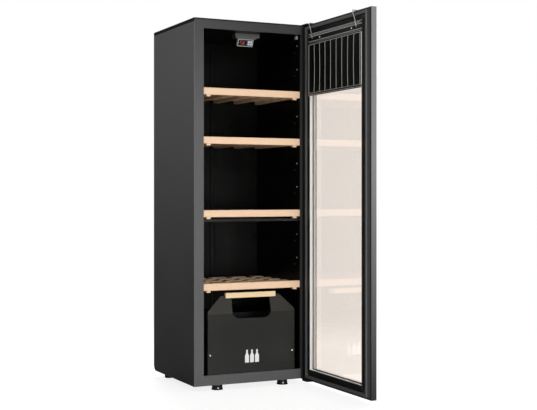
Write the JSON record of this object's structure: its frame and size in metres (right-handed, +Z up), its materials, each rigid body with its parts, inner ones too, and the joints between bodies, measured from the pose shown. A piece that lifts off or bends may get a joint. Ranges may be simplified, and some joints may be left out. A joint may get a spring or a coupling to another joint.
{
  "type": "wine cooler",
  "caption": "Tall free-standing single-door wine cooler with a tinted glass door, sliding wooden shelves, a pull-out tray, a bottle bin and a hanging door rack.",
  "frame": {"origin": "on the floor, under the middle of the box that holds the cooler with its door open square", "axes": "+Z up, +Y to the back of the case, +X to the hinge side, the right as seen from the front"},
  "size_m": [0.6075, 1.188, 1.735],
  "materials": {
    "anthracite_steel": "satin",
    "cap_plastic": "matte",
    "frame_grey": "satin",
    "black_liner": "satin",
    "foam": "matte",
    "aluminium": "satin",
    "zinc_steel": "satin",
    "lamp_grey": "satin",
    "control_grey": "satin",
    "display_dark": "gloss",
    "display_red": "gloss",
    "key_pale": "satin",
    "black_steel": "satin",
    "foot_black": "matte",
    "foot_gloss": "gloss",
    "compressor_black": "satin",
    "mount_rubber": "matte",
    "pan_plastic": "matte",
    "inlet_plastic": "matte",
    "condenser_black": "satin",
    "copper": "satin",
    "door_paint": "satin",
    "bush_nylon": "matte",
    "bronze_glass": "gloss",
    "spacer_white": "satin",
    "door_black": "satin",
    "gasket_rubber": "matte",
    "rack_black": "satin",
    "rack_screw_steel": "satin",
    "hook_steel": "polished",
    "beech": "satin",
    "tray_black": "satin",
    "bin_black": "satin",
    "grip_wood": "satin",
    "bright_screw": "polished",
    "icon_white": "matte"
  },
  "bodies": {
    "cabinet": {"side_panel_left": "anthracite_steel", "side_panel_right": "anthracite_steel", "top_panel": "cap_plastic", "rear_panel": "anthracite_steel", "base_plate": "anthracite_steel", "front_frame": "frame_grey", "liner_wall_left": "black_liner", "liner_wall_right": "black_liner", "liner_back": "black_liner", "liner_ceiling": "black_liner", "liner_floor": "black_liner", "foam_insulation": "foam", "evaporator_plate": "aluminium", "air_duct": "black_liner", "wall_fittings": "zinc_steel", "lamp_housing": "lamp_grey", "controller_housing": "control_grey", "display_window": "display_dark", "display_digits": "display_red", "light_switch_housing": "control_grey", "hinge_plates": "black_steel", "case_screws": "zinc_steel", "rear_feet": "foot_black", "compressor": "compressor_black", "compressor_mounts": "mount_rubber", "drip_pan": "pan_plastic", "power_inlet": "inlet_plastic", "condenser": "condenser_black", "refrigerant_pipes": "copper"},
    "door": {"door_frame": "door_paint", "hinge_bushes": "bush_nylon", "door_glass": "bronze_glass", "glass_spacer": "spacer_white", "door_trim": "door_black", "door_gasket": "gasket_rubber"},
    "door_rack": {"rack_rails": "rack_black", "rack_sheet": "rack_black", "rack_rods": "rack_black", "rack_screws": "rack_screw_steel", "rack_hooks": "hook_steel"},
    "shelf_1": {"shelf_1_front": "beech", "shelf_1_deck": "beech"},
    "shelf_2": {"shelf_2_front": "beech", "shelf_2_deck": "beech"},
    "shelf_3": {"shelf_3_front": "beech", "shelf_3_deck": "beech"},
    "shelf_4": {"shelf_4_front": "beech", "shelf_4_deck": "beech"},
    "tray": {"tray": "tray_black"},
    "bottle_bin": {"bin_body": "bin_black", "bin_grip": "grip_wood", "bin_screws": "bright_screw", "bin_icon": "icon_white"},
    "key_light": {"key_light": "key_pale"},
    "key_up": {"key_up": "key_pale"},
    "key_set": {"key_set": "key_pale"},
    "key_down": {"key_down": "key_pale"},
    "light_switch": {"light_switch_rocker": "control_grey"},
    "front_foot_left": {"front_foot_left": "foot_gloss"},
    "front_foot_right": {"front_foot_right": "foot_gloss"}
  },
  "joints": [
    {"name": "door_swing", "type": "hinge", "parent": "cabinet", "child": "door", "pos_m": [0.28325, -0.007, 0.9], "axis": [0, 0, 1], "range_deg": [-90, 25]},
    {"name": "rack_lift", "type": "slide", "parent": "door", "child": "door_rack", "axis": [0, 0, 1], "range_m": [0, 0.014]},
    {"name": "shelf_1_slide", "type": "slide", "parent": "cabinet", "child": "shelf_1", "axis": [0, -1, 0], "range_m": [0, 0.22]},
    {"name": "shelf_2_slide", "type": "slide", "parent": "cabinet", "child": "shelf_2", "axis": [0, -1, 0], "range_m": [0, 0.22]},
    {"name": "shelf_3_slide", "type": "slide", "parent": "cabinet", "child": "shelf_3", "axis": [0, -1, 0], "range_m": [0, 0.22]},
    {"name": "shelf_4_slide", "type": "slide", "parent": "cabinet", "child": "shelf_4", "axis": [0, -1, 0], "range_m": [0, 0.22]},
    {"name": "tray_slide", "type": "slide", "parent": "cabinet", "child": "tray", "axis": [0, -1, 0], "range_m": [0, 0.2]},
    {"name": "bin_slide", "type": "slide", "parent": "cabinet", "child": "bottle_bin", "axis": [0, -1, 0], "range_m": [0, 0.2]},
    {"name": "key_light_press", "type": "slide", "parent": "cabinet", "child": "key_light", "axis": [0, 0.9063, 0.4226], "range_m": [0, 0.001], "stiffness_N_per_m": 400},
    {"name": "key_up_press", "type": "slide", "parent": "cabinet", "child": "key_up", "axis": [0, 0.9063, 0.4226], "range_m": [0, 0.001], "stiffness_N_per_m": 400},
    {"name": "key_set_press", "type": "slide", "parent": "cabinet", "child": "key_set", "axis": [0, 0.9063, 0.4226], "range_m": [0, 0.001], "stiffness_N_per_m": 400},
    {"name": "key_down_press", "type": "slide", "parent": "cabinet", "child": "key_down", "axis": [0, 0.9063, 0.4226], "range_m": [0, 0.001], "stiffness_N_per_m": 400},
    {"name": "light_switch_rock", "type": "hinge", "parent": "cabinet", "child": "light_switch", "pos_m": [0.24475, 0.067, 1.673], "axis": [0, 0, -1], "range_deg": [0, 20]},
    {"name": "front_foot_left_turn", "type": "hinge", "parent": "cabinet", "child": "front_foot_left", "pos_m": [-0.17375, 0.058, 0.01], "axis": [0, 0, 1], "continuous": true},
    {"name": "front_foot_right_turn", "type": "hinge", "parent": "cabinet", "child": "front_foot_right", "pos_m": [0.16625, 0.058, 0.01], "axis": [0, 0, 1], "continuous": true}
  ]
}
